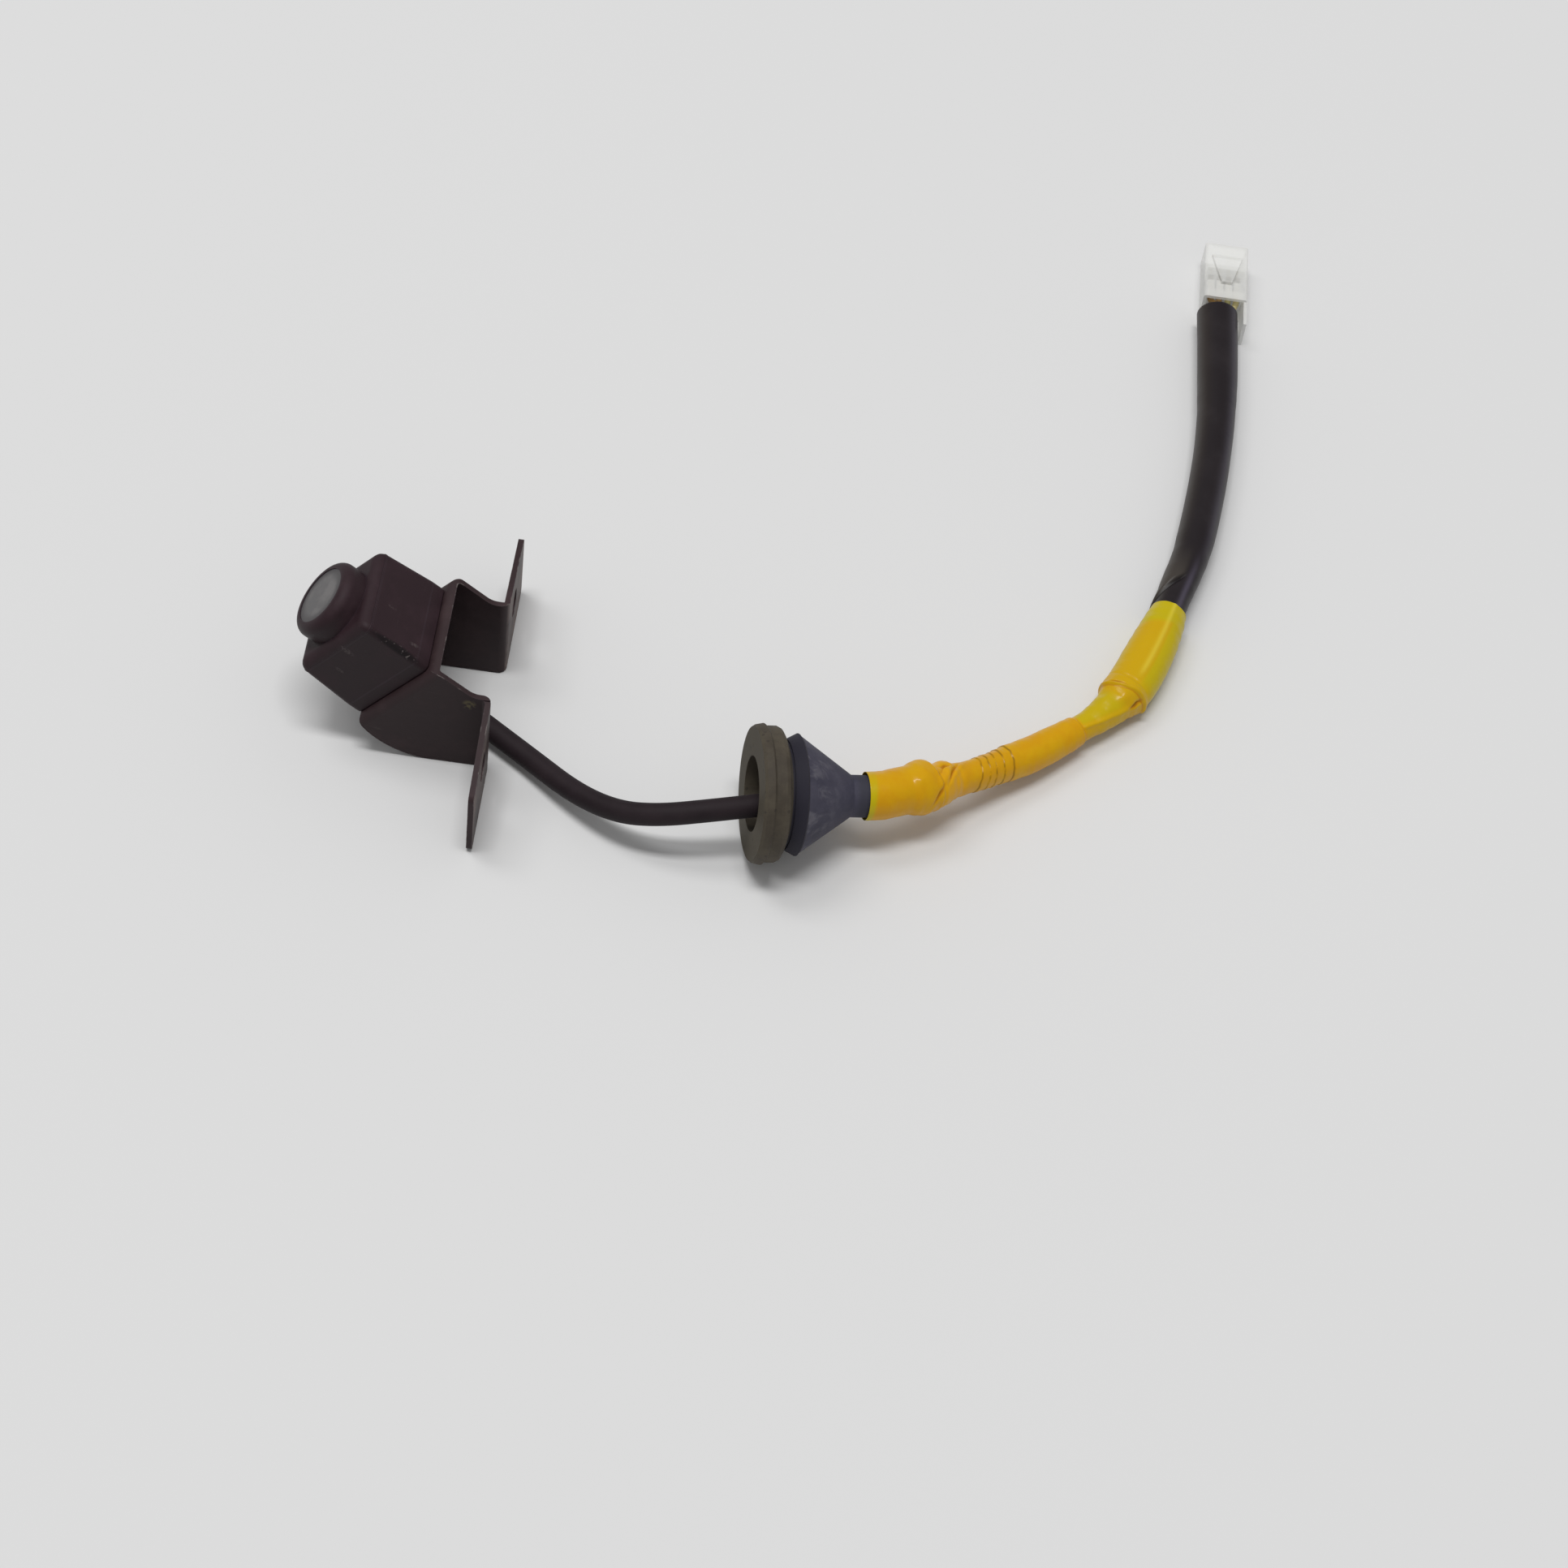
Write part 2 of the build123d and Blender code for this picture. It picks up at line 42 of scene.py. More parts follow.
class Wire:
    # a socket that can be added, multiplied and compared
    def __init__(self, paint, socket):
        self.paint = paint
        self.socket = socket

    def maths(self, operation, first, second=0.0, clamp=False):
        return self.paint.add("ShaderNodeMath", {"operation": operation, "use_clamp": clamp},
                              {0: first, 1: second})

    def __add__(self, other):
        return self.maths("ADD", self, other)

    def __radd__(self, other):
        return self.maths("ADD", other, self)

    def __sub__(self, other):
        return self.maths("SUBTRACT", self, other)

    def __rsub__(self, other):
        return self.maths("SUBTRACT", other, self)

    def __mul__(self, other):
        return self.maths("MULTIPLY", self, other)

    def __rmul__(self, other):
        return self.maths("MULTIPLY", other, self)

    def __truediv__(self, other):
        return self.maths("DIVIDE", self, other)

    def __rtruediv__(self, other):
        return self.maths("DIVIDE", other, self)

    def clamp(self):
        return self.maths("ADD", self, 0.0, True)

    def most(self, other):
        return self.maths("MAXIMUM", self, other)

    def ramp(self, low, high, start=0.0, end=1.0):
        # smooth step from start at low to end at high
        return self.paint.add("ShaderNodeMapRange",
                              {"interpolation_type": "SMOOTHSTEP", "clamp": True},
                              {"Value": self, "From Min": low, "From Max": high,
                               "To Min": start, "To Max": end})


class Paint:
    # one material and its nodes
    def __init__(self, name, **values):
        self.material = bpy.data.materials.new(name)
        self.material.use_nodes = True
        self.tree = self.material.node_tree
        self.shader = self.tree.nodes["Principled BSDF"]
        self.set(**values)
        self.place = self.add("ShaderNodeTexCoord", out="Object")

    def set(self, **values):
        # shader sockets by name, spaces left out
        for key, value in values.items():
            for socket in self.shader.inputs:
                if socket.name.replace(" ", "") == key:
                    self.feed(socket, value)
                    break

    def feed(self, socket, value):
        if isinstance(value, Wire):
            self.tree.links.new(value.socket, socket)
        elif socket.type == "RGBA" and len(value) == 3:
            socket.default_value = (*value, 1.0)
        else:
            socket.default_value = value

    def add(self, kind, settings=None, inputs=None, out=0):
        node = self.tree.nodes.new(kind)
        for key, value in (settings or {}).items():
            setattr(node, key, value)
        for key, value in (inputs or {}).items():
            self.feed(node.inputs[key], value)
        return Wire(self, node.outputs[out])

    def vector(self, operation, first, second):
        return self.add("ShaderNodeVectorMath", {"operation": operation}, {0: first, 1: second})

    def dot(self, first, second):
        return self.add("ShaderNodeVectorMath", {"operation": "DOT_PRODUCT"},
                        {0: first, 1: second}, out="Value")

    def size(self, arrow):
        return self.add("ShaderNodeVectorMath", {"operation": "LENGTH"}, {0: arrow}, out="Value")

    def stretch(self, x, y, z):
        return self.vector("MULTIPLY", self.place, (x, y, z))

    def noise(self, scale, detail=4.0, rough=0.55, at=None, twist=0.0):
        return self.add("ShaderNodeTexNoise", None,
                        {"Vector": at or self.place, "Scale": scale, "Detail": detail,
                         "Roughness": rough, "Distortion": twist})

    def specks(self, scale):
        return self.add("ShaderNodeTexVoronoi", None, {"Vector": self.place, "Scale": scale})

    def mix(self, factor, first, second):
        return self.add("ShaderNodeMix", {"data_type": "RGBA"},
                        {0: factor, 6: first, 7: second}, out=2)

    def facing(self, axis):
        # how far the surface faces an axis, from -1 to 1
        return self.dot(self.add("ShaderNodeNewGeometry", out="Normal"), axis)

    def edges(self, size):
        # near 1 on edges and corners, 0 on flat faces
        flat = self.add("ShaderNodeNewGeometry", out="Normal")
        rounded = self.add("ShaderNodeBevel", {"samples": 4}, {"Radius": size})
        return (1.0 - self.dot(flat, rounded)).ramp(0.02, 0.22)

    def spot(self, place, size, core=0.4):
        # 1 in the core of a place, 0 from its size outwards
        away = self.vector("SUBTRACT", self.place, place)
        return self.size(away).ramp(core * size, size, 1.0, 0.0)

    def streak(self, place, size, axis, length, core=0.2):
        # a spot drawn out along an axis
        away = self.vector("SUBTRACT", self.place, place)
        far, along = self.size(away), self.dot(away, axis)
        squared = along * along
        across = (far * far - squared) / (size * size)
        return (across + squared / (length * length)).ramp(core, 1.0, 1.0, 0.0)

    def along(self, start, axis):
        # distance from a place along an axis
        return self.dot(self.vector("SUBTRACT", self.place, start), axis)

    def mark(self, name):
        # a number stored on the mesh
        return self.add("ShaderNodeAttribute", {"attribute_name": name}, out="Fac")

    def bump(self, height, strength, distance):
        return self.add("ShaderNodeBump", None,
                        {"Height": height, "Strength": strength, "Distance": distance})


def srgb(red, green, blue):
    # a colour as the eye reads it, 0 to 255, by the usual curve
    return tuple(((c / 255 + 0.055) / 1.055) ** 2.4 if c > 10 else c / 255 / 12.92
                 for c in (red, green, blue))


def put(name, data):
    # a new object in the scene
    piece = bpy.data.objects.new(name, data)
    bpy.context.scene.collection.objects.link(piece)
    return piece


def wear(material, *names):
    # gives carried-over parts their finish
    for name in names:
        data = nodes[name].data
        data.materials.clear()
        data.materials.append(material)


# camera

viewValues = {"place": (0.4952, 0.07377, 0.6159), "right": (-0.09667, 0.99053, 0.09754),
              "up": (-0.77808, -0.13632, 0.6132), "back": (0.62068, -0.01661, 0.78389),
              "lens": 81.99, "sensor": 36.0, "near": 0.01, "far": 20.0}


def addCamera():
    data = bpy.data.cameras.new("photoCamera")
    data.lens = viewValues["lens"]
    data.sensor_width = viewValues["sensor"]
    data.clip_start = viewValues["near"]
    data.clip_end = viewValues["far"]
    camera = put("photoCamera", data)
    turn = Matrix([viewValues["right"], viewValues["up"], viewValues["back"]]).transposed()
    camera.matrix_world = Matrix.Translation(viewValues["place"]) @ turn.to_4x4()
    bpy.context.scene.camera = camera


addCamera()
print("camera set")


# cable route, with the same points as the part's source, in metres;
# y counts from the flanges' rear faces

flangeBack = 0.0220738
tilt = math.radians(39.56)
plateAhead = 0.02144
plateHeight = 0.01842


def onPlate(up, ahead, side=0.0):
    # a point up the bracket plate, ahead of it and to its side
    return (side, flangeBack - plateAhead + up * math.sin(tilt) - ahead * math.cos(tilt),
            plateHeight + up * math.cos(tilt) + ahead * math.sin(tilt))


def behind(points):
    return [(x, y + flangeBack, z) for x, y, z in points]


cableValues = {
    "diameter": 0.005, "length": 0.315, "drop": 0.0035, "start": 0.0024, "firstTurn": -0.0085,
    "run": ((0.0030, -0.0074, 0.0054), (0.0076, 0.0014, 0.0034), (0.0134, 0.0096, 0.0035),
            (0.0222, 0.0201, 0.0054), (0.0282, 0.0298, 0.0086), (0.0300, 0.0388, 0.0118),
            (0.0285, 0.0496, 0.0140), (0.0251, 0.0625, 0.0149), (0.0192, 0.0780, 0.0136),
            (0.0171, 0.0882, 0.0127), (0.0112, 0.0964, 0.0111), (0.0032, 0.1070, 0.0078),
            (-0.0054, 0.1170, 0.0055), (-0.0160, 0.1293, 0.0047), (-0.0275, 0.1386, 0.0048),
            (-0.0420, 0.1440, 0.0050), (-0.0535, 0.1474, 0.0051), (-0.0660, 0.1509, 0.0050),
            (-0.0840, 0.1542, 0.0048), (-0.1065, 0.1567, 0.0047), (-0.1310, 0.1572, 0.0047),
            (-0.1435, 0.1572, 0.0047))}
cablePoints = [onPlate(-cableValues["drop"], cableValues[key]) for key in ("start", "firstTurn")]
cablePoints += behind(cableValues["run"])
curveValues = {"perSpan": 16, "roundSteps": 7}
leastStep = 1e-9  # keeps a doubled point from dividing by zero
zAxis = (0, 0, 1)


def addCurve(name, points, thickness):
    data = bpy.data.curves.new(name, "CURVE")
    data.dimensions = "3D"
    data.resolution_u = curveValues["perSpan"]
    spline = data.splines.new("NURBS")
    spline.points.add(len(points) - 1)
    for target, point in zip(spline.points, points):
        target.co = (*point, 1.0)
    spline.order_u = 3
    spline.use_endpoint_u = True
    data.bevel_depth = thickness / 2
    data.bevel_resolution = curveValues["roundSteps"]
    data.use_fill_caps = True
    return put(name, data)


def readLine(points):
    # the route's own smooth line, as a row of places
    guide = addCurve("guideLine", points, 0.0)
    mesh = bpy.data.meshes.new_from_object(guide)
    raw = [v.co.copy() for v in mesh.vertices]
    bpy.data.objects.remove(guide)
    bpy.data.meshes.remove(mesh)
    return raw


class Line:
    # a line measured along its length
    def __init__(self, raw):
        self.raw = raw
        self.far = [0.0]
        for a, b in zip(raw, raw[1:]):
            self.far.append(self.far[-1] + (b - a).length)

    def direction(self, i):
        a, b = max(i - 1, 0), min(i + 1, len(self.raw) - 1)
        return (self.raw[b] - self.raw[a]).normalized()

    def at(self, distance):
        # place, upward side and level side across
        distance = min(max(distance, 0.0), self.far[-1])
        low, high = 0, len(self.far) - 1
        while high - low > 1:
            mid = (low + high) // 2
            if self.far[mid] <= distance:
                low = mid
            else:
                high = mid
        part = (distance - self.far[low]) / max(self.far[high] - self.far[low], leastStep)
        place = self.raw[low].lerp(self.raw[high], part)
        along = self.direction(low).lerp(self.direction(high), part).normalized()
        side = Vector(zAxis)
        side = (side - side.dot(along) * along).normalized()
        return place, side, along.cross(side)


cableLine = Line(readLine(cablePoints))
cable = addCurve("cameraCable", cablePoints, cableValues["diameter"])
print("cable laid", round(cableLine.far[-1], 4))


# skins around a line

floorGap = 0.00005  # the least height of a skin above the floor


def between(value, low, high):
    # smooth step from 0 at low to 1 at high
    part = min(max((value - low) / (high - low), 0.0), 1.0)
    return part * part * (3 - 2 * part)


def stretchOf(distance, start, full, fade, end):
    # 1 from full to fade, 0 before start and past end
    return between(distance, start, full) * (1 - between(distance, fade, end))


def bell(value, width):
    return math.exp(-(value / width) ** 2)


def turnFrom(angle, middle):
    # the angle between two directions around the line
    return (angle - middle + math.pi) % (2 * math.pi) - math.pi


def onRound(angle, reach, along):
    # where to read noise so that it joins up around the line
    return Vector((math.cos(angle) * reach, math.sin(angle) * reach, along))


def profile(points, distance):
    # a smooth size between listed places
    for (a, first), (b, second) in zip(points, points[1:]):
        if distance <= b:
            return first + (second - first) * between(distance, a, b)
    return points[-1][1]


def skinFaces(rings, around):
    # the quads of the outer skin, of the inner one, turned over, and of both rims
    faces = []
    for base, way in ((0, 1), (rings * around, -1)):
        for i in range(rings - 1):
            for k in range(around):
                a, b = base + i * around + k, base + i * around + (k + 1) % around
                quad = (a, b, b + around, a + around)
                faces.append(quad[::way])
    for base, way in ((0, 1), ((rings - 1) * around, -1)):
        inner = rings * around + base
        for k in range(around):
            n = (k + 1) % around
            quad = (base + k, inner + k, inner + n, base + n)
            faces.append(quad[::way])
    return faces


def tubeMesh(name, line, start, end, step, around, radiusAt, marks, wall, shift=None):
    # radiusAt(distance, angle) gives the radius, marks the stored numbers, and shift how far it
    # lies aside; angle 0 is upwards; it is flattened where it would sink into the floor
    mesh = bpy.data.meshes.new(name)
    rings = max(2, int((end - start) / step)) + 1
    verts, values = [], {key: [] for key in marks}
    for inset in (0.0, wall):
        for i in range(rings):
            distance = start + (end - start) * i / (rings - 1)
            place, side, other = line.at(distance)
            if shift:
                place = place + profile(shift, distance) * other
            flat = min(1.0, (place.z - floorGap) / radiusAt(distance, math.pi))
            for k in range(around):
                angle = 2 * math.pi * k / around
                radius = radiusAt(distance, angle) - inset
                spot = place + radius * (flat * math.cos(angle) * side + math.sin(angle) * other)
                spot.z = max(spot.z, floorGap)
                verts.append(spot)
                for key, rule in marks.items():
                    values[key].append(rule(distance, angle))
    mesh.from_pydata(verts, [], skinFaces(rings, around))
    for key, numbers in values.items():
        layer = mesh.attributes.new(key, "FLOAT", "POINT")
        layer.data.foreach_set("value", numbers)
    mesh.polygons.foreach_set("use_smooth", [True] * len(mesh.polygons))
    return put(name, mesh)


# yellow tape, wound on the cable

tapeValues = {
    "start": 0.1224, "end": 0.2237, "step": 0.00017, "around": 96, "wall": 0.0001,
    # radius along the cable, and how far the wraps lie aside
    "body": ((0.1224, 0.00530), (0.1275, 0.00530), (0.1315, 0.00528), (0.1333, 0.00555),
             (0.1354, 0.00590), (0.1379, 0.00572), (0.1388, 0.00500), (0.1410, 0.00475),
             (0.1430, 0.00430), (0.1448, 0.00375), (0.1485, 0.00355), (0.1550, 0.00355),
             (0.1585, 0.00370), (0.1605, 0.00395), (0.1645, 0.00408), (0.1705, 0.00395),
             (0.1765, 0.00372), (0.1798, 0.00350), (0.1804, 0.00306), (0.1835, 0.00308),
             (0.1864, 0.00345), (0.1903, 0.00390), (0.1924, 0.00430), (0.1944, 0.00478),
             (0.1964, 0.00515), (0.2003, 0.00535), (0.2063, 0.00535), (0.2100, 0.00522),
             (0.2140, 0.00502), (0.2170, 0.00472), (0.2200, 0.00445), (0.2237, 0.00395)),
    "aside": ((0.1224, -0.0001), (0.1262, -0.0003), (0.1290, -0.0007), (0.1315, -0.0008),
              (0.1333, -0.0004), (0.1370, -0.0004), (0.1395, 0.0003), (0.1430, 0.0),
              (0.1460, 0.0002), (0.1600, 0.0002), (0.1650, 0.0004), (0.1800, 0.0001),
              (0.1860, 0.0003), (0.1960, 0.0003), (0.2100, 0.0002), (0.2237, 0.0002)),
    # laps: distance, slant, direction
    "laps": ((0.1504, 0.0013, -1.1), (0.1526, 0.0010, -1.1), (0.1547, 0.0011, -1.3),
             (0.1568, 0.0008, -1.2), (0.1592, 0.0007, -0.9)),
    "lapLift": 0.00017, "lapRise": 0.0001, "lapThins": (0.0004, 0.0035), "lapUneven": 0.00022,
    "lapEdge": 0.00016, "lapScale": (3, 900),
    # folds: distance, angle, half length, half angle, slope of the line, height
    "folds": ((0.1428, 0.10, 0.00045, 0.50, -0.0051, -0.00055),
              (0.1372, 1.05, 0.00050, 0.45, -0.0040, -0.00050),
              (0.1398, -0.05, 0.00040, 0.35, -0.0051, -0.00030),
              (0.1414, -0.27, 0.00140, 0.07, 0.0, -0.00060),
              (0.1950, -0.35, 0.00034, 0.42, 0.0012, -0.00062),
              (0.1943, 1.12, 0.00150, 0.08, 0.0, -0.00080),
              (0.1443, 0.10, 0.00090, 0.60, -0.0051, 0.00025),
              (0.1411, 0.15, 0.00080, 0.60, -0.0051, 0.00030),
              (0.1424, -0.75, 0.00160, 0.40, 0.0, 0.00040),
              (0.1368, -0.90, 0.00140, 0.45, 0.0, 0.00030),
              (0.1336, 0.28, 0.00110, 0.22, 0.0, 0.00030),
              (0.1351, 2.15, 0.00140, 0.40, 0.0, 0.00020),
              (0.1960, 1.87, 0.00140, 0.35, 0.0, 0.00035),
              (0.1935, -0.90, 0.00120, 0.50, 0.0, 0.00035),
              (0.1930, 0.35, 0.00120, 0.35, 0.0, 0.00035),
              (0.1905, -0.20, 0.00200, 0.30, 0.0, 0.00020),
              (0.1405, 3.50, 0.00060, 0.60, 0.0040, -0.00050),
              (0.1380, 4.60, 0.00080, 0.45, -0.0030, -0.00040),
              (0.1432, 4.20, 0.00100, 0.50, 0.0030, 0.00030),
              (0.1948, 3.30, 0.00050, 0.70, 0.0015, -0.00050),
              (0.1926, 4.20, 0.00120, 0.40, 0.0, 0.00030)),
    "foldReach": 0.009, "foldDeep": 0.00045,
    # the pleat that winds along the thin stretch
    "pleatFrom": 0.1808, "pleatAngle": 0.58, "pleatTwist": 47, "pleatHigh": 0.00035,
    "pleatWide": 0.17, "pleatRun": (0.1800, 0.1815, 0.1940, 0.1970),
    # the seam along the last wrap, and the light on it
    "seam": 0.24, "seamRun": (0.1985, 0.2030), "seamHigh": 0.00014, "seamWide": 0.13,
    "gleamWide": 0.10,
    # small unevenness, stronger on the pulled stretches
    "rippleRun": (0.1600, 0.1630, 0.1780, 0.1800), "ripple": 0.00007, "rippleScale": 700,
    "busyRuns": ((0.1320, 0.1350, 0.1450, 0.1480), (0.1880, 0.1920, 0.1970, 0.2010)),
    "rough": 0.00005, "roughBusy": 0.00012, "roughFine": 0.00003, "roughScale": (1.6, 420),
    "fineScale": 2.7,
    # the rolled edge of the last wrap
    "lip": 0.1951, "lipAngle": 0.35, "lipSlope": 0.0009, "lipWave": (0.0005, 2.1, 0.4),
    "lipUneven": 0.0003, "lipScale": (2, 7), "lipRise": (-0.00015, 0.0002), "lipHigh": 0.00035,
    # underLip and underLipDark set the strip under the lip that is painted dark as shade
    "lipRoll": 0.00022, "lipRollWide": 0.0005, "underLip": 0.0003, "underLipDark": 0.7,
    # where one layer alone shows
    "startEdge": (0.1236, 0.1246), "startSlant": 0.0003, "startSide": (-0.6, 0.9),
    "startThin": (0.4, 0.6),
    "endEdge": (0.2162, 0.2180), "endSlant": 0.00125, "endThin": 0.85,
    "fatRun": (0.1960, 0.2010), "fatRight": (0.38, 0.56, 0.75), "fatLeft": (0.6, 1.2, 0.35),
    "neckRun": (0.1803, 0.1812, 0.1900, 0.1935), "neckThin": (0.30, 0.45), "neckSide": (0.1, 0.5),
    # stretches with a colour of their own
    "workedRun": (0.1375, 0.1395, 0.1440, 0.1465), "lateRun": (0.1800, 0.2000)}


def lapShift(distance, angle):
    # each lap steps up at a slanting, uneven edge, then thins out again
    total, edge = 0.0, 0.0
    rise, (reach, along) = tapeValues["lapRise"], tapeValues["lapScale"]
    for place, slant, turn in tapeValues["laps"]:
        uneven = tapeValues["lapUneven"] * noise.noise(onRound(angle, reach, place * along))
        gap = distance - place - slant * math.cos(angle - turn) - uneven
        total += (tapeValues["lapLift"] * between(gap, -rise, rise)
                  * (1 - between(gap, *tapeValues["lapThins"])))
        edge = max(edge, bell(gap, tapeValues["lapEdge"]))
    return total, edge


def pleatTurn(distance, angle):
    # the angle from the pleat's winding line
    wound = tapeValues["pleatTwist"] * (distance - tapeValues["pleatFrom"])
    return turnFrom(angle, tapeValues["pleatAngle"] + wound)


def seamAt(distance, angle, width):
    # how far the seam of the last wrap has set in, and how near it is
    turn = turnFrom(angle, tapeValues["seam"])
    return between(distance, *tapeValues["seamRun"]), bell(turn, width)


def creases(distance, angle):
    # pulled and twisted stretches, where the tape changes size; the second number is the
    # depth of the folds alone
    up, down = 0.0, 0.0
    for place, middle, length, width, slope, height in tapeValues["folds"]:
        if abs(distance - place) > tapeValues["foldReach"]:
            continue
        turn = turnFrom(angle, middle)
        off = (distance - place - slope * turn) / length
        here = height * math.exp(-off ** 2 - (turn / width) ** 2)
        if height > 0:
            up += here
        else:
            down += here
    pleat = bell(pleatTurn(distance, angle), tapeValues["pleatWide"])
    up += tapeValues["pleatHigh"] * stretchOf(distance, *tapeValues["pleatRun"]) * pleat
    run, near = seamAt(distance, angle, tapeValues["seamWide"])
    up += tapeValues["seamHigh"] * run * near
    wrapped = stretchOf(distance, *tapeValues["rippleRun"])
    ripple = (wrapped * tapeValues["ripple"]
              * noise.noise(onRound(angle, 1, distance * tapeValues["rippleScale"])))
    busy = max(stretchOf(distance, *run) for run in tapeValues["busyRuns"])
    reach, along = tapeValues["roughScale"]
    spot = onRound(angle, reach, distance * along)
    rough = ((tapeValues["rough"] + tapeValues["roughBusy"] * busy) * noise.noise(spot)
             + tapeValues["roughFine"] * noise.noise(spot * tapeValues["fineScale"]))
    return up + down + ripple + rough, down


def lip(distance, angle):
    # how far a place lies past the rolled edge of the last wrap
    turn = turnFrom(angle, tapeValues["lipAngle"])
    high, often, start = tapeValues["lipWave"]
    wavy = (high * math.sin(often * turn + start)
            + tapeValues["lipUneven"] * noise.noise(onRound(angle, *tapeValues["lipScale"])))
    return distance - tapeValues["lip"] - tapeValues["lipSlope"] * turn - wavy


def tapeRadius(distance, angle):
    past, wide = lip(distance, angle), tapeValues["lipRollWide"]
    rolled = (tapeValues["lipHigh"] * between(past, *tapeValues["lipRise"])
              + tapeValues["lipRoll"] * bell(past - wide, wide))
    return (profile(tapeValues["body"], distance) + rolled + lapShift(distance, angle)[0]
            + creases(distance, angle)[0])


def thinness(distance, angle):
    # where one layer alone shows, greener than the rest
    turn = turnFrom(angle, 0.0)
    least, more = tapeValues["startThin"]
    start = ((1 - between(distance + tapeValues["startSlant"] * turn, *tapeValues["startEdge"]))
             * (least + more * between(turn, *tapeValues["startSide"])))
    end = tapeValues["endThin"] * between(distance - tapeValues["endSlant"] * turn,
                                          *tapeValues["endEdge"])
    (low, high, right), (near, far, left) = tapeValues["fatRight"], tapeValues["fatLeft"]
    fat = (between(distance, *tapeValues["fatRun"])
           * (right * between(turn, low, high) + left * between(-turn, near, far)))
    least, more = tapeValues["neckThin"]
    neck = least + more * between(-pleatTurn(distance, angle), *tapeValues["neckSide"])
    return max(start, end, fat, stretchOf(distance, *tapeValues["neckRun"]) * neck)


def creaseMark(distance, angle):
    # painted shade: how dark the folds are, and the shaded strip under the lip
    deep = -creases(distance, angle)[1] / tapeValues["foldDeep"]
    under = bell(lip(distance, angle) + tapeValues["underLip"], tapeValues["underLip"])
    return min(1.0, deep + tapeValues["underLipDark"] * under)


def gleamMark(distance, angle):
    run, near = seamAt(distance, angle, tapeValues["gleamWide"])
    return run * near


tapeMarks = {"lapEdge": lambda s, a: lapShift(s, a)[1], "thin": thinness, "crease": creaseMark,
             "worked": lambda s, a: stretchOf(s, *tapeValues["workedRun"]),
             "late": lambda s, a: between(s, *tapeValues["lateRun"]), "gleam": gleamMark}
tape = tubeMesh("yellowTape", cableLine, tapeValues["start"], tapeValues["end"],
                tapeValues["step"], tapeValues["around"], tapeRadius, tapeMarks,
                tapeValues["wall"], shift=tapeValues["aside"])


# black sleeve

sleeveValues = {
    "run": ((-0.0505, 0.1465, 0.0051), (-0.0660, 0.1510, 0.0050), (-0.0793, 0.1537, 0.0049),
            (-0.1065, 0.1569, 0.0047), (-0.1310, 0.1575, 0.0047), (-0.1540, 0.15675, 0.0047)),
    "step": 0.0004, "around": 80, "wall": 0.0008,
    "body": ((0.0, 0.0037), (0.0030, 0.0039), (0.0055, 0.0038), (0.0080, 0.00375),
             (0.0115, 0.00390), (0.0160, 0.00408), (0.0220, 0.0043), (0.0280, 0.0045),
             (0.0560, 0.0045), (0.0700, 0.0046), (0.0760, 0.0048), (0.0820, 0.00492),
             (0.1050, 0.0050)),
    # the crease at the mouth and the lobe past it
    "creaseAngle": -1.3, "creaseAt": 0.0048, "creaseSlope": 0.0056, "creaseOff": 0.0004,
    "creaseWide": 0.0007, "creaseSide": (-1.0, -0.5, 1.2, 1.6), "creaseDeep": 0.00045,
    "lobeRise": 0.0005, "lobeFades": (0.0100, 0.0240), "lobeHigh": 0.00055,
    # a shallow groove that winds past the mouth
    "grooveAt": 0.0150, "grooveLong": 0.0080, "grooveAngle": -0.05, "grooveTwist": 12,
    "grooveFrom": 0.012, "grooveWide": 0.28, "grooveDeep": 0.0003,
    "wave": 0.00006, "waveScale": 60,
    # light on its right side, near the mouth and further on
    "leftSide": (0.3, 1.2), "leftAngle": 0.1, "nearSheen": (0.55, 0.20),
    "nearFades": (0.0090, 0.0240), "farSheen": (0.80, 0.28), "farRun": (0.012, 0.030),
    "farLight": 0.4}


def mouth(distance, angle):
    # how full the left lobe is, and how near the crease below it
    turn, rise = turnFrom(angle, sleeveValues["creaseAngle"]), sleeveValues["lobeRise"]
    past = distance - sleeveValues["creaseAt"] - sleeveValues["creaseSlope"] * turn
    there = stretchOf(turn, *sleeveValues["creaseSide"])
    full = there * between(past, -rise, rise) * (1 - between(distance, *sleeveValues["lobeFades"]))
    return full, there * bell(past + sleeveValues["creaseOff"], sleeveValues["creaseWide"])


def sleeveRadius(distance, angle):
    # pinched by the tape: a crease runs from its left side to its top, and past it the left
    # side is full again
    full, pinch = mouth(distance, angle)
    slack = bell(distance - sleeveValues["grooveAt"], sleeveValues["grooveLong"])
    wound = sleeveValues["grooveTwist"] * (distance - sleeveValues["grooveFrom"])
    turn = turnFrom(angle, sleeveValues["grooveAngle"] + wound)
    groove = bell(turn, sleeveValues["grooveWide"]) * slack
    wave = (sleeveValues["wave"]
            * noise.noise(onRound(angle, 1, distance * sleeveValues["waveScale"])))
    return (profile(sleeveValues["body"], distance) + sleeveValues["lobeHigh"] * full
            - sleeveValues["creaseDeep"] * pinch - sleeveValues["grooveDeep"] * groove + wave)


def sheenMark(distance, angle):
    middle, width = sleeveValues["nearSheen"]
    near = (bell(turnFrom(angle, middle), width)
            * (1 - between(distance, *sleeveValues["nearFades"])))
    middle, width = sleeveValues["farSheen"]
    far = (sleeveValues["farLight"] * bell(turnFrom(angle, middle), width)
           * between(distance, *sleeveValues["farRun"]))
    return max(near, far)


# painted light: how far a place lies on the left flank, which is painted lighter and browner
def leftMark(distance, angle):
    return between(-turnFrom(angle, sleeveValues["leftAngle"]), *sleeveValues["leftSide"])


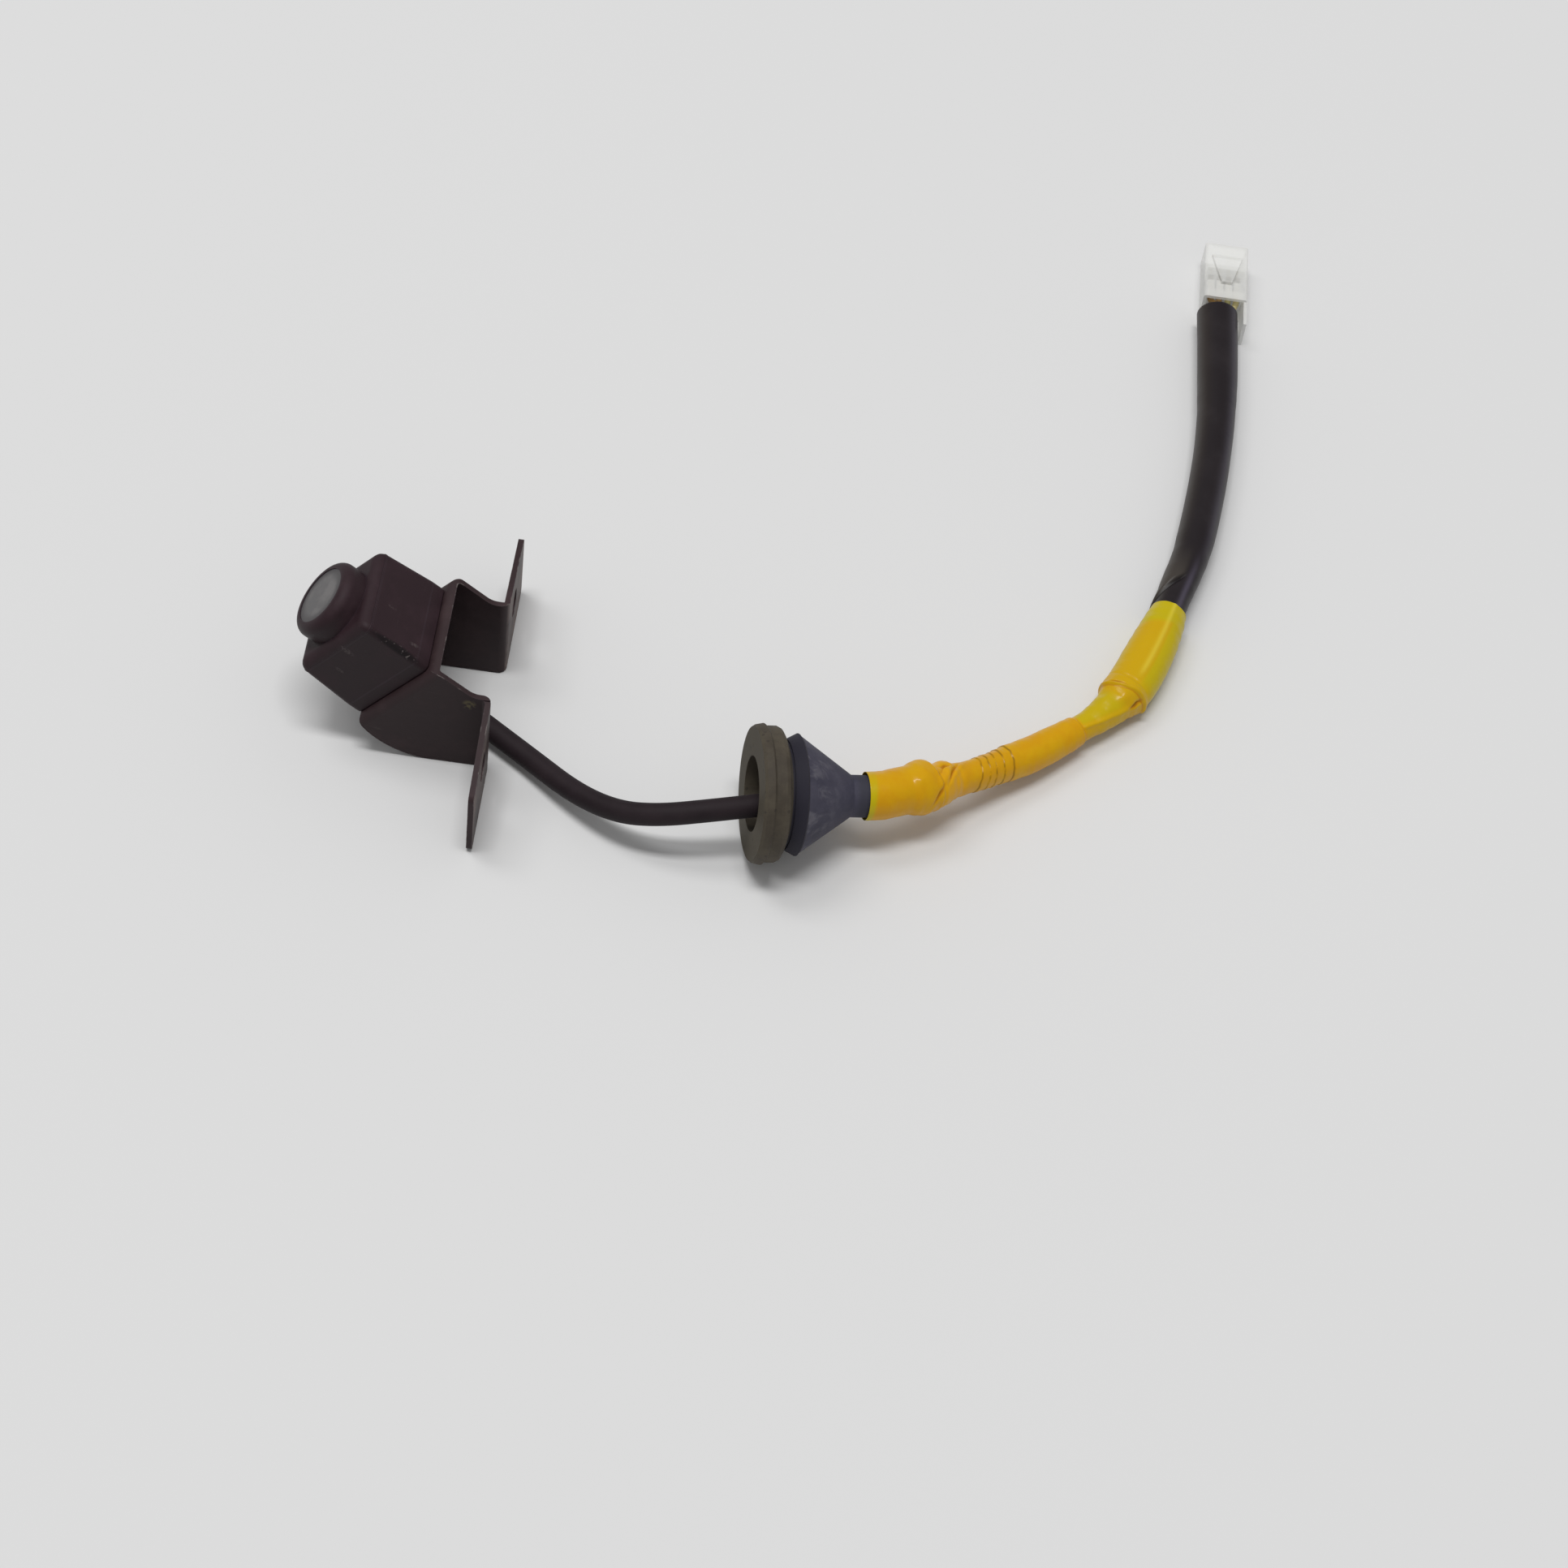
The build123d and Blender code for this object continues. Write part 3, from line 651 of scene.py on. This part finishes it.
sleeveMarks = {"left": leftMark, "sheen": sheenMark,
               # lobe is painted light; fold is painted shade in the crease
               "lobe": lambda s, a: mouth(s, a)[0], "fold": lambda s, a: mouth(s, a)[1]}
sleeveLine = Line(readLine(behind(sleeveValues["run"])))
sleeve = tubeMesh("vinylSleeve", sleeveLine, 0.0, sleeveLine.far[-1], sleeveValues["step"],
                  sleeveValues["around"], sleeveRadius, sleeveMarks, sleeveValues["wall"])
print("tape and sleeve made")


# a thin bead that closes the hairline at the foot of the housing's front rounding

beadValues = {"corner": 0.00975, "steps": 8,
              # distance ahead of the plate, distance from the housing's middle
              "section": ((0.01552, 0.011155), (0.01560, 0.011185), (0.01595, 0.011168),
                          (0.01600, 0.011160), (0.01612, 0.011090), (0.01612, 0.010900),
                          (0.01552, 0.010900))}


def addBead():
    corner, steps = beadValues["corner"], beadValues["steps"]
    around, rows = 4 * (steps + 1), len(beadValues["section"])
    verts = []
    for ahead, half in beadValues["section"]:
        for k in range(around):
            quarter, step = divmod(k, steps + 1)
            angle = math.pi / 2 * (quarter + step / steps)
            middle = math.pi / 2 * (quarter + 0.5)
            side = (math.copysign(corner, math.cos(middle))
                    + (half - corner) * math.cos(angle))
            up = math.copysign(corner, math.sin(middle)) + (half - corner) * math.sin(angle)
            verts.append(onPlate(up, ahead, side))
    faces = []
    for i in range(rows):
        for k in range(around):
            here, after, n = i * around, (i + 1) % rows * around, (k + 1) % around
            faces.append((here + k, here + n, after + n, after + k))
    mesh = bpy.data.meshes.new("frontBead")
    mesh.from_pydata(verts, [], faces)
    shape = bmesh.new()
    shape.from_mesh(mesh)
    bmesh.ops.recalc_face_normals(shape, faces=shape.faces)
    shape.to_mesh(mesh)
    shape.free()
    return put("frontBead", mesh)


bead = addBead()


# black paint of the bracket

paintValues = {"edge": 0.0004, "dark": srgb(38, 24, 27), "dusty": srgb(68, 53, 55),
               # edgeColour lightens the edges: worn paint, and a painted highlight
               "edgeColour": srgb(88, 80, 84), "chip": srgb(150, 142, 138),
               # rear lightens the faces turned to +y: dust, and painted light
               "streak": srgb(96, 86, 84), "rear": srgb(116, 102, 98),
               "mark": srgb(106, 98, 66), "markSize": 0.0019,
               "markAt": (0.014, flangeBack - 0.0047, 0.0204)}


def blackPaint():
    paint = Paint("bracketPaint", SpecularIORLevel=0.22)
    edge = paint.edges(paintValues["edge"])
    cloud = paint.noise(90, 6, 0.6)
    fine = paint.noise(900, 3, 0.6)
    rubbed = paint.noise(700, 4, 0.6, at=paint.stretch(1, 0.22, 1))
    upward = paint.facing(zAxis).ramp(-0.1, 0.9)
    dust = (cloud.ramp(0.4, 0.72) * 0.5 + upward * 0.3 + fine * 0.12).clamp()
    base = paint.mix(dust, paintValues["dark"], paintValues["dusty"])
    # edges lighter: worn paint, and a painted highlight along them
    base = paint.mix(edge * (cloud * 0.5), base, paintValues["edgeColour"])
    chips = (edge * paint.noise(420, 4).ramp(0.52, 0.66)).clamp()
    base = paint.mix(chips * 0.75, base, paintValues["chip"])
    base = paint.mix(rubbed.ramp(0.66, 0.8) * 0.3, base, paintValues["streak"])
    # faces turned to +y painted lighter and browner: patchy dust, and painted light
    rear = paint.facing((0, 1, 0)).ramp(0.7, 0.95) * cloud.ramp(0.3, 0.65)
    base = paint.mix(rear * 0.85, base, paintValues["rear"])
    mark = (paint.spot(paintValues["markAt"], paintValues["markSize"])
            * paint.noise(1100, 3).ramp(0.42, 0.58))
    base = paint.mix(mark * 0.6, base, paintValues["mark"])
    paint.set(BaseColor=base, Roughness=0.48 + dust * 0.25,
              Normal=paint.bump(fine + cloud * 0.5, 0.14, 0.0002))
    return paint.material


# shell of the housing

plateAxis = (0.0, -math.cos(tilt), math.sin(tilt))
shellValues = {"dark": srgb(33, 18, 23), "dusty": srgb(58, 41, 47), "line": srgb(92, 80, 84),
               # edgeColour lightens the edges: worn edges, and a painted highlight
               "edge": 0.0006, "edgeColour": srgb(80, 72, 82), "bare": srgb(14, 11, 13),
               "chip": srgb(120, 112, 110),
               # the dark ridge: up, ahead, side, then its width and length
               "ridge": (0.0112, 0.0095, 0.0112), "ridgeSize": (0.0012, 0.0085),
               # scuffs: up, ahead, side, size
               "scuffs": ((0.002, 0.0150, 0.0116, 0.0009), (-0.004, 0.0120, 0.0117, 0.0006),
                          (0.0116, 0.0045, 0.008, 0.0006), (0.0116, 0.0120, 0.002, 0.0005))}


def camShell():
    paint = Paint("housingShell", SpecularIORLevel=0.22)
    cloud = paint.noise(120, 6, 0.62)
    grain = paint.noise(2200, 2, 0.5)
    upward = paint.facing(zAxis).ramp(0.0, 1.0)
    dust = (cloud.ramp(0.42, 0.72) * 0.4 + upward * 0.4).clamp()
    base = paint.mix(dust, shellValues["dark"], shellValues["dusty"])
    fineLines = paint.noise(1500, 3, 0.6, at=paint.stretch(0.12, 1, 1)).ramp(0.66, 0.78) * 0.15
    base = paint.mix(fineLines, base, shellValues["line"])
    # edges lighter: worn edges, and a painted highlight along them
    edge = paint.edges(shellValues["edge"]) * (0.05 + cloud * 0.3)
    base = paint.mix(edge, base, shellValues["edgeColour"])
    # the long near edge is darker along a strip, with a few light chips
    width, length = shellValues["ridgeSize"]
    ridge = paint.streak(onPlate(*shellValues["ridge"]), width, plateAxis, length)
    base = paint.mix(ridge * 0.8, base, shellValues["bare"])
    chips = ridge * paint.noise(1300, 3).ramp(0.6, 0.68)
    for *place, size in shellValues["scuffs"]:
        scuff = paint.streak(onPlate(*place), size, plateAxis, size * 3)
        chips = chips.most(scuff * paint.noise(1600, 3).ramp(0.4, 0.6) * 0.4)
    base = paint.mix(chips * 0.6, base, shellValues["chip"])
    paint.set(BaseColor=base, Roughness=0.46 + dust * 0.3,
              Normal=paint.bump(grain, 0.12, 0.0001))
    return paint.material


# glass

glassValues = {"front": 0.0229, "rim": 0.0069, "rimColour": srgb(42, 37, 40),
               "dark": srgb(74, 72, 73), "dusty": srgb(98, 95, 95), "lens": (0.85, 0.9, 0.95)}


def dustyGlass():
    paint = Paint("windowGlass", IOR=1.5, SpecularIORLevel=0.4)
    cloud = paint.noise(240, 5, 0.6)
    rim = paint.spot(onPlate(0.0, glassValues["front"]), glassValues["rim"])
    colour = paint.mix(cloud.ramp(0.35, 0.7), glassValues["dark"], glassValues["dusty"])
    colour = paint.mix(rim.ramp(0.0, 0.7), glassValues["rimColour"], colour)
    paint.set(BaseColor=colour, Roughness=0.34 + cloud * 0.2, CoatWeight=0.2, CoatRoughness=0.15)
    return paint.material


def clearGlass():
    return Paint("lensGlass", BaseColor=glassValues["lens"], Roughness=0.03,
                 TransmissionWeight=1.0, IOR=1.52).material


# rubber

rubberValues = {"sealRubber": (srgb(28, 28, 28), srgb(70, 68, 66), 0.4),
                "cableJacket": (srgb(28, 20, 24), srgb(54, 44, 48), 0.5)}


def rubber(name):
    dark, dusty, amount = rubberValues[name]
    paint = Paint(name, SpecularIORLevel=0.2)
    cloud = paint.noise(140, 6, 0.62)
    smear = paint.noise(60, 4, 0.5, at=paint.stretch(1, 0.35, 1), twist=0.6)
    upward = paint.facing(zAxis).ramp(-0.4, 0.9)
    patches = cloud.ramp(0.3, 0.7) * 0.5 + smear.ramp(0.4, 0.7) * 0.4 + upward * 0.25
    dust = (patches * amount).clamp()
    fine = paint.noise(1500, 3, 0.6)
    paint.set(BaseColor=paint.mix(dust, dark, dusty), Roughness=0.6 + dust * 0.25,
              Normal=paint.bump(fine + cloud, 0.2, 0.00015))
    return paint.material


grommetValues = {"front": (0.02346, 0.0578 + flangeBack, 0.015283),
                 "axis": (-0.20376, 0.97566, -0.08151),
                 # where ring, lip and cone end behind the front, and how far the colours blend
                 "ringEnd": 0.0066, "lipEnd": 0.0099, "coneEnd": 0.0215, "blend": 0.0003,
                 "neckBlend": 0.002, "dustEnd": (0.0205, 0.0105),
                 "ring": (srgb(62, 55, 46), srgb(80, 73, 61)), "ringFace": srgb(78, 72, 58),
                 "ringSpeck": srgb(44, 39, 36), "lip": (srgb(27, 25, 36), srgb(42, 40, 52)),
                 "cone": (srgb(54, 53, 68), srgb(72, 70, 84)), "coneDust": srgb(112, 110, 118),
                 "neck": (srgb(44, 44, 56), srgb(60, 59, 70)),
                 "dimpleAt": (0.0245, 0.0970, 0.0197), "dimpleSize": 0.0007,
                 "dimple": srgb(24, 23, 30)}


def grommetFinish():
    # olive brown ring, blue-black lip, dusty blue-grey cone, darker neck
    paint = Paint("grommetRubber", SpecularIORLevel=0.3)
    back = paint.along(grommetValues["front"], grommetValues["axis"])
    cloud = paint.noise(150, 6, 0.62)
    fine = paint.noise(1400, 3, 0.6)
    smear = paint.noise(300, 5, 0.6, at=paint.stretch(1, 0.3, 1), twist=0.4)
    facing = paint.facing((0.2, -0.97, 0.08)).ramp(0.2, 0.9)
    ring = paint.mix(cloud.ramp(0.35, 0.7), *grommetValues["ring"])
    ring = paint.mix(facing * 0.6, ring, grommetValues["ringFace"])
    specks = paint.specks(420).ramp(0.12, 0.2, 0.5, 0.0)
    ring = paint.mix(specks, ring, grommetValues["ringSpeck"])
    lipColour = paint.mix(cloud, *grommetValues["lip"])
    cone = paint.mix(cloud.ramp(0.3, 0.75), *grommetValues["cone"])
    dusty = smear.ramp(0.48, 0.7) * back.ramp(*grommetValues["dustEnd"]) * 0.55
    cone = paint.mix(dusty, cone, grommetValues["coneDust"])
    dimple = paint.spot(grommetValues["dimpleAt"], grommetValues["dimpleSize"])
    cone = paint.mix(dimple * 0.8, cone, grommetValues["dimple"])
    neck = paint.mix(cloud, *grommetValues["neck"])
    colour = ring
    for key, blend, further in (("ringEnd", "blend", lipColour), ("lipEnd", "blend", cone),
                                ("coneEnd", "neckBlend", neck)):
        end = grommetValues[key]
        colour = paint.mix(back.ramp(end, end + grommetValues[blend]), colour, further)
    paint.set(BaseColor=colour, Roughness=0.6 + cloud * 0.2,
              Normal=paint.bump(fine + cloud + dimple * -6.0, 0.2, 0.00015))
    return paint.material


# tape and sleeve

# crease is painted shade in the folds and under the lip; dirt is dirt with painted shade in the
# deepest folds
tapeColours = {"plain": (srgb(208, 150, 0), srgb(211, 161, 0)), "worked": srgb(222, 162, 14),
               "late": srgb(201, 164, 2), "thin": srgb(188, 178, 4),
               "gleam": srgb(226, 208, 70), "crease": srgb(178, 104, 4), "dirt": srgb(84, 58, 10)}


def tapeFinish():
    paint = Paint("yellowTapeFinish", CoatRoughness=0.16, IOR=1.5, SpecularIORLevel=0.12)
    cloud = paint.noise(170, 4, 0.55)
    base = paint.mix(cloud.ramp(0.3, 0.7), *tapeColours["plain"])
    for name, amount in (("worked", 0.5), ("late", 0.8), ("thin", 0.8), ("gleam", 0.5)):
        base = paint.mix(paint.mark(name) * amount, base, tapeColours[name])
    crease = paint.mark("crease")
    # painted shade, orange-brown, in the fold valleys and in the strip under the lip
    base = paint.mix(crease.ramp(0.2, 0.9) * 0.65, base, tapeColours["crease"])
    broken = paint.noise(420, 3).ramp(0.30, 0.55)
    # dirt on the lap edges, and painted shade in the deepest folds
    dirt = (paint.mark("lapEdge") * broken * 0.75 + crease.ramp(0.8, 1.0) * 0.2).clamp()
    colour = paint.mix(dirt, base, tapeColours["dirt"])
    pulled = paint.noise(500, 3, 0.5, at=paint.stretch(1, 1, 0.4))
    paint.set(BaseColor=colour, Roughness=0.30 + cloud * 0.14, CoatWeight=0.22,
              Normal=paint.bump(pulled + cloud * 2, 0.3, 0.00014))
    return paint.material


# left and lobe are painted light, sheen a painted highlight, fold painted shade in the crease
sleeveColours = {"plain": (srgb(25, 18, 22), srgb(44, 38, 41)), "left": srgb(62, 54, 46),
                 "lobe": srgb(76, 70, 62), "sheen": srgb(90, 84, 100), "fold": srgb(14, 10, 14)}


def vinyl():
    paint = Paint("sleeveVinyl", IOR=1.5, SpecularIORLevel=0.28)
    cloud = paint.noise(90, 5, 0.55)
    fine = paint.noise(700, 3, 0.5)
    base = paint.mix(cloud.ramp(0.4, 0.75) * 0.5, *sleeveColours["plain"])
    # left flank and lobe painted light, sheen a painted highlight, fold painted shade in the
    # crease
    for name, amount in (("left", 0.45), ("lobe", 0.55), ("sheen", 0.6), ("fold", 0.8)):
        base = paint.mix(paint.mark(name) * amount, base, sleeveColours[name])
    paint.set(BaseColor=base, Roughness=0.32 + cloud * 0.2,
              Normal=paint.bump(fine + cloud * 3, 0.12, 0.0002))
    return paint.material


# plug and small parts

nylonValues = {"clear": srgb(246, 246, 244), "cloudy": srgb(240, 240, 236), "alpha": 0.44}


def nylon():
    paint = Paint("clearNylon", Roughness=0.3, IOR=1.45, SpecularIORLevel=0.4)
    cloud = paint.noise(200, 4)
    paint.set(BaseColor=paint.mix(cloud, nylonValues["clear"], nylonValues["cloudy"]),
              Alpha=nylonValues["alpha"] + cloud * 0.12)
    return paint.material


# name: colour, roughness, metal, parts
plainValues = {
    "blackMetal": (srgb(30, 30, 31), 0.4, 0.6,
                   ("lens_barrel", "lens_spacer", "aperture_ring", "lens_retainer")),
    "blackPlastic": (srgb(32, 32, 34), 0.5, 0.0, ("lens_holder", "signal_chip", "image_sensor")),
    "boardMask": (srgb(24, 92, 52), 0.35, 0.0, ("sensor_board", "signal_board")),
    "smallParts": (srgb(212, 204, 186), 0.45, 0.0,
                   ("board_capacitors", "board_link", "cable_header")),
    "screwSteel": (srgb(170, 170, 172), 0.35, 1.0,
                   ("board_spacers", "board_screws", "housing_screws", "bracket_screws")),
    "wire_blackFinish": (srgb(150, 112, 40), 0.42, 0.0, ("wire_black",)),
    "wire_redFinish": (srgb(178, 142, 86), 0.42, 0.0, ("wire_red",)),
    "wire_greenFinish": (srgb(198, 192, 130), 0.42, 0.0, ("wire_green",)),
    "wire_yellowFinish": (srgb(216, 202, 142), 0.42, 0.0, ("wire_yellow",)),
    "inner_leadsFinish": (srgb(150, 60, 50), 0.42, 0.0, ("inner_leads",)),
    "terminalBrass": (srgb(226, 220, 204), 0.4, 0.6, ("connector_terminals",))}


def plainFinish(name, colour, rough, metal):
    paint = Paint(name, Metallic=metal)
    cloud = paint.noise(300, 4)
    paint.set(BaseColor=paint.mix(cloud, colour, tuple(c * 0.7 for c in colour)),
              Roughness=rough + cloud * 0.12,
              Normal=paint.bump(paint.noise(900, 3), 0.1, 0.0001))
    return paint.material


shell = camShell()
wear(blackPaint(), "mounting_bracket")
wear(shell, "front_housing", "rear_cover")
wear(dustyGlass(), "lens_window")
wear(clearGlass(), "front_lens", "middle_lens", "rear_lens", "infrared_filter")
wear(rubber("sealRubber"), "housing_seal", "window_seal", "cable_gland")
wear(grommetFinish(), "grommet")
wear(nylon(), "connector_housing")
for name, (colour, rough, metal, parts) in plainValues.items():
    wear(plainFinish(name, colour, rough, metal), *parts)
bead.data.materials.append(shell)
cable.data.materials.append(rubber("cableJacket"))
tape.data.materials.append(tapeFinish())
sleeve.data.materials.append(vinyl())
print("finishes made")


# what stands for what

for piece in (cable, tape, sleeve, bead):
    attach(piece, "root")
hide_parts("camera_cable")
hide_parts("neck_tape", "cable_tape", "sleeve_tape")
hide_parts("protective_sleeve")


# floor and light

stageValues = {"floor": 0.735, "half": 3.0, "drop": 0.0002, "world": 0.36,
               "middle": (-0.04, 0.08, 0.0),
               # lamps: name, direction, distance, size, power
               "lamps": (("softKey", (0.05, -0.05, 0.99), 5.0, (0.8, 2.6), 120.0),
                         ("softSide", (-0.22, -0.42, 0.88), 5.0, (1.2, 2.4), 45.0))}


def addLamp(name, direction, far, size, power):
    # a long lamp that lies along y and looks at the part
    data = bpy.data.lights.new(name, "AREA")
    data.energy = power
    data.shape = "RECTANGLE"
    data.size, data.size_y = size
    lamp = put(name, data)
    way = Vector(direction).normalized()
    lamp.location = Vector(stageValues["middle"]) + far * way
    across = Vector((0, 1, 0)).cross(way).normalized()
    turn = Matrix([across, way.cross(across), way]).transposed()
    lamp.rotation_mode = "QUATERNION"
    lamp.rotation_quaternion = turn.to_quaternion()


def addStage():
    mesh = bpy.data.meshes.new("paleFloor")
    half, grey = stageValues["half"], stageValues["floor"]
    corners = [(-half, -half, 0), (half, -half, 0), (half, half, 0), (-half, half, 0)]
    mesh.from_pydata(corners, [], [(0, 1, 2, 3)])
    floor = put("paleFloor", mesh)
    floor.location.z = -stageValues["drop"]
    paint = Paint("paleFloorPaint", BaseColor=(grey, grey, grey), Roughness=0.9,
                  SpecularIORLevel=0.0)
    mesh.materials.append(paint.material)
    world = bpy.data.worlds.new("softRoom")
    world.use_nodes = True
    sky = world.node_tree.nodes["Background"].inputs
    sky["Color"].default_value = (1, 1, 1, 1)
    sky["Strength"].default_value = stageValues["world"]
    bpy.context.scene.world = world
    for lamp in stageValues["lamps"]:
        addLamp(*lamp)
    bpy.context.scene.view_settings.view_transform = "Standard"


addStage()
print("stage set")
